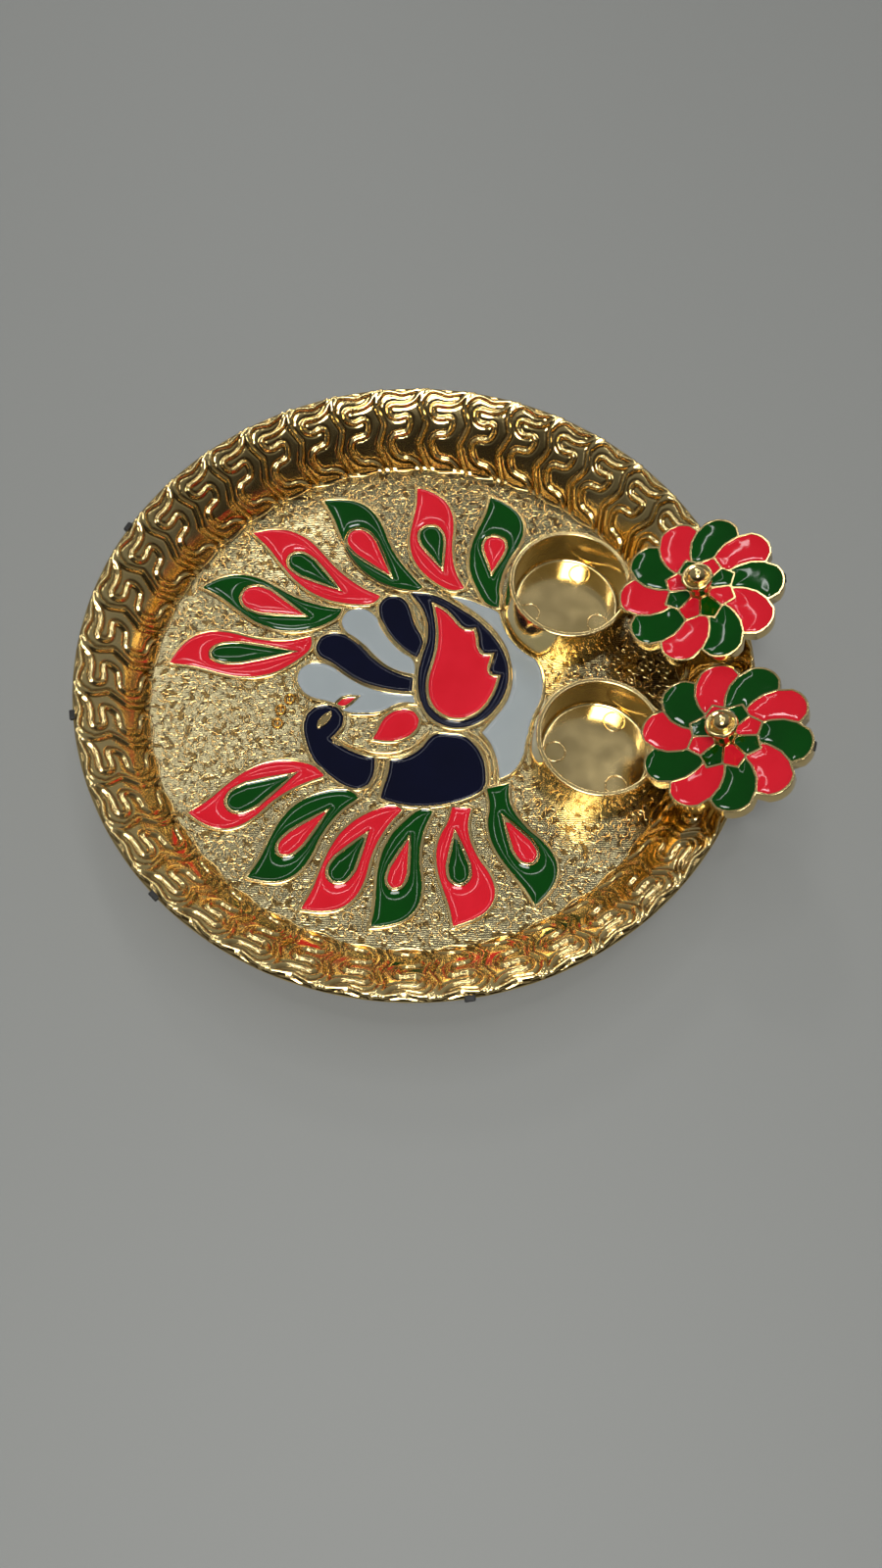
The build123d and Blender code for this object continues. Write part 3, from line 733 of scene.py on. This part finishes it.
# lids
lidSizes = {"plate": 1.6, "pocket": 0.6, "skirt": 3.6, "skirtWall": 0.9, "plug": 9.3, "plugRadius": 13.9,
            "plugWall": 1.2, "plugRoot": 0.2, "plugRounding": 0.3, "plugSteps": 96, "enamelDrop": 0.1,
            "rounding": 0.12, "corner": 0.22, "lap": 0.02, "overlap": 0.04, "wallRoot": 0.2, "skirtTop": 0.15,
            "skirtRounding": 0.3, "leastUpright": 0.5}
lidPad = {**padLook, "sag": 0.44 * mm, "creep": 1.25 * mm, "lift": 0.05 * mm}


def lidFrame(number):
    # the enamel's own top faces give the lid's plane, and the ten petals round a centre its axis
    faces = [f for part in ("green", "red") for f in frame["nodes"][f"lid_{number}_{part}_petals"].data.polygons]
    upright = [f for f in faces if f.normal.z > lidSizes["leastUpright"]]
    normal = max(upright, key=lambda f: f.area).normal.copy()
    tops = [f for f in faces if f.normal.dot(normal) > flatNormal]
    centre = sum((f.center * f.area for f in tops), Vector()) / sum(f.area for f in tops)
    ahead = (Vector((1, 0, 0)) - normal * normal.x).normalized()
    turn = Matrix((ahead, normal.cross(ahead), normal)).transposed().to_4x4()
    return Matrix.Translation(centre + normal * lidSizes["enamelDrop"] * mm) @ turn


def lidBody(number, place, sizes):
    loops, _ = capLoops(f"lid_{number}", place.inverted())
    outer = max(loops, key=lambda loop: abs(signedArea(loop)))
    peg = min(loops, key=lambda loop: abs(signedArea(loop)))  # the knob's own hole is closed
    cells = [softened(loop, sizes["corner"] * mm) for loop in loops if loop is not outer and loop is not peg]
    lap = sizes["lap"] * mm  # plate and walls run this far into each other
    plate = ridgeMesh([outer], -sizes["plate"] * mm, lap - sizes["pocket"] * mm, lap)
    holes = [grown(c, -sizes["overlap"] * mm) for c in cells]
    walls = ridgeMesh([outer] + holes, -(sizes["pocket"] + sizes["wallRoot"]) * mm, lap, sizes["rounding"] * mm)
    skirt = ridgeMesh([outer, grown(outer, -sizes["skirtWall"] * mm)], -sizes["skirt"] * mm,
                      -sizes["skirtTop"] * mm, sizes["skirtRounding"] * mm)
    inner = sizes["plugRadius"] - sizes["plugWall"]
    root = sizes["plugRoot"] - sizes["plate"]
    ring = rounded([(inner, root), (inner, -sizes["plug"]), (sizes["plugRadius"], -sizes["plug"]),
                    (sizes["plugRadius"], root)], (sizes["plugRounding"], sizes["plugRounding"]))
    plug = spunMesh([(r * mm, z * mm) for r, z in ring], sizes["plugSteps"])
    whole = joined([plate, walls, skirt, plug])
    whole.transform(place)
    return whole


knobSizes = {"profile": ((0, -0.3), (2.4, -0.3), (2.4, 0.1), (1.9, 1.4), (1.85, 4.5), (3.8, 4.75), (4.0, 5.5),
                         (3.75, 6.2), (3.2, 6.2), (2.6, 5.8), (2.45, 6.3), (2.1, 7.4), (1.2, 8.15), (0, 8.3)),
             "radii": (0, 0.1, 0.4, 0.5, 0.25, 0.3, 0.2, 0.2, 0.2, 0.3, 0.5, 0.5), "steps": 48}


def knobMesh(place, sizes):
    profile = rounded(sizes["profile"], sizes["radii"], steps=4)
    mesh = spunMesh([(r * mm, z * mm) for r, z in profile], sizes["steps"])
    mesh.transform(place)
    return mesh


for number in (1, 2):
    place = lidFrame(number)
    body = f"lid_{number}"
    casting, knob = lidBody(number, place, lidSizes), knobMesh(place, knobSizes)
    addPiece(f"lid{number}Casting", casting, [polishedGold], body, [body])
    addPiece(f"lid{number}Knob", knob, [polishedGold], body, [f"{body}_knob"])
    for part in ("red_petals", "green_petals", "red_star", "green_star"):
        node = f"lid_{number}_{part}"
        loops, top = capLoops(node, place.inverted())
        loops = [softened(loop, lidSizes["corner"] * mm) for loop in loops]
        pad = padMesh(loops, -lidSizes["pocket"] * mm, top + lidPad["lift"], lidPad)
        pad.transform(place)
        addPiece(f"lid{number}_{part}_pad", pad, [enamels[slots[node]]], body, [node])
print("lids made")

# torn gate stubs of bare plastic on the rim and on each lid's edge
trayStubs = {"angles": (192.0, 227.2, 280.2, 154.4), "radius": 87.3, "height": 18.6, "size": (0.7, 1.3, 0.6),
             "bevel": 0.25}
lidStubs = {"angles": (0.5, -17.0), "radius": 20.0, "height": -1.5, "size": (1.1, 1.2, 0.5), "bevel": 0.25}


def stubMesh(look, angles):
    shape = bmesh.new()
    for angle in angles:
        place = Matrix.Translation(polar(look["radius"] * mm, angle, look["height"] * mm))
        place = place @ Matrix.Rotation(radians(angle), 4, "Z") @ Matrix.Diagonal((*look["size"], 1))
        made = bmesh.ops.create_cube(shape, size=2 * mm, matrix=place)
        edges = list({e for v in made["verts"] for e in v.link_edges})
        bmesh.ops.bevel(shape, geom=edges, offset=look["bevel"] * mm, offset_type="OFFSET", segments=2,
                        profile=0.5, affect="EDGES", material=-1)
    return finished(shape, "stubs")


addPiece("gateStubs", stubMesh(trayStubs, trayStubs["angles"]), [bareAbs], "tray")
for number, angle in enumerate(lidStubs["angles"], start=1):
    mesh = stubMesh(lidStubs, [angle])
    mesh.transform(lidFrame(number))
    addPiece(f"lid{number}GateStub", mesh, [bareAbs], f"lid_{number}")
print("gate stubs made")

# stage, light and camera
tableLook = {"colour": "#8A8B87", "rough": 0.6, "halfSize": 3.0}
tableMaterial, _, tableShader = newMaterial("painted table, matt")  # plain and pale
tableShader.inputs["Base Color"].default_value = linear(tableLook["colour"])
tableShader.inputs["Roughness"].default_value = tableLook["rough"]
tableShape = bmesh.new()
bmesh.ops.create_grid(tableShape, x_segments=1, y_segments=1, size=tableLook["halfSize"])
tableMesh = finished(tableShape, "table")
table = bpy.data.objects.new("table", tableMesh)
tableMesh.materials.append(tableMaterial)
scene.collection.objects.link(table)

skyLook = {"dark": "#2A2723", "light": "#7F8184", "toward": (-0.1, 0.8, 0.35), "from": -0.55, "to": 0.6}
skyRing = {"axis": (-0.03, 0.4, 0.916), "radius": 18.0, "half": 0.55, "fade": 0.2, "tint": "#FFFFFF",
           "strength": 16.0}  # ring lamp, in degrees round its axis
world = bpy.data.worlds.new("studio")  # pale on the far side, dark behind the camera
scene.world = world
world.use_nodes = True
sky = world.node_tree
skyPlace = addNode(sky, "ShaderNodeTexCoord")
skySide = addNode(sky, "ShaderNodeVectorMath", {"operation": "DOT_PRODUCT", 1: skyLook["toward"]},
                  {0: skyPlace.outputs["Generated"]})
skyRange = addNode(sky, "ShaderNodeMapRange", {"interpolation_type": "SMOOTHSTEP", "From Min": skyLook["from"],
                                               "From Max": skyLook["to"]}, {"Value": skySide.outputs["Value"]})
skyTone = addNode(sky, "ShaderNodeMix", {"data_type": "RGBA", 6: linear(skyLook["dark"]),
                                         7: linear(skyLook["light"])}, {0: skyRange.outputs["Result"]})
sky.links.new(skyTone.outputs[2], sky.nodes["Background"].inputs["Color"])
ringEdge = sin(radians(skyRing["radius"])) * radians(skyRing["half"])
ringSide = addNode(sky, "ShaderNodeVectorMath", {"operation": "DOT_PRODUCT", 1: skyRing["axis"]},
                   {0: skyPlace.outputs["Generated"]})
ringOff = addNode(sky, "ShaderNodeMath", {"operation": "SUBTRACT", 1: cos(radians(skyRing["radius"]))},
                  {0: ringSide.outputs["Value"]})
ringGap = addNode(sky, "ShaderNodeMath", {"operation": "ABSOLUTE"}, {0: ringOff.outputs["Value"]})
ringMask = addNode(sky, "ShaderNodeMapRange", {"interpolation_type": "SMOOTHSTEP",
                                               "From Min": ringEdge * (1 + skyRing["fade"]),
                                               "From Max": ringEdge * (1 - skyRing["fade"])},
                   {"Value": ringGap.outputs["Value"]})
ringLamp = addNode(sky, "ShaderNodeBackground", {"Color": linear(skyRing["tint"]),
                                                 "Strength": skyRing["strength"]})
skyMix = addNode(sky, "ShaderNodeMixShader", None, {0: ringMask.outputs["Result"],
                                                    1: sky.nodes["Background"].outputs[0], 2: ringLamp.outputs[0]})
sky.links.new(skyMix.outputs[0], sky.nodes["World Output"].inputs["Surface"])


# both lamps aim at the tray's middle
lamps = {"overheadSoftbox": {"place": (-0.05, -0.5, 1.33), "size": (0.5, 0.5), "watts": 13.5},
         "farLamp": {"place": (-0.2, 0.94, 0.7), "size": (0.14, 0.12), "watts": 1.0}}


def areaLight(name, lamp):
    light = bpy.data.lights.new(name, "AREA")
    light.shape, light.energy = "RECTANGLE", lamp["watts"]
    light.size, light.size_y = lamp["size"]
    holder = bpy.data.objects.new(name, light)
    holder.location = lamp["place"]
    holder.rotation_euler = (-Vector(lamp["place"])).to_track_quat("-Z", "Y").to_euler()
    scene.collection.objects.link(holder)


for name, lamp in lamps.items():
    areaLight(name, lamp)

# the photo's own camera, found by fitting the rim, the floor and the cups; focal length and height in pixels
photoView = {"place": (7.4, -129.2, 265.2), "pitch": 68.84, "roll": 1.68, "focal": 1100.0, "height": 1600.0,
             "sensor": 36.0, "clip": 0.01}


def photoCamera(view):
    camera = bpy.data.cameras.new("photoCamera")
    camera.sensor_width, camera.lens = view["sensor"], view["sensor"] * view["focal"] / view["height"]
    camera.clip_start = view["clip"]
    holder = bpy.data.objects.new("photoCamera", camera)
    pitch, roll = radians(view["pitch"]), radians(view["roll"])
    right, up = Vector((1, 0, 0)), Vector((0, sin(pitch), cos(pitch)))
    ahead = Vector((0, cos(pitch), -sin(pitch)))
    side, top = right * cos(roll) + up * sin(roll), up * cos(roll) - right * sin(roll)
    turn = Matrix((side, top, -ahead)).transposed().to_4x4()
    holder.matrix_world = Matrix.Translation(Vector(view["place"]) * mm) @ turn
    scene.collection.objects.link(holder)
    scene.camera = holder


photoCamera(photoView)
print("stage, light and camera set")
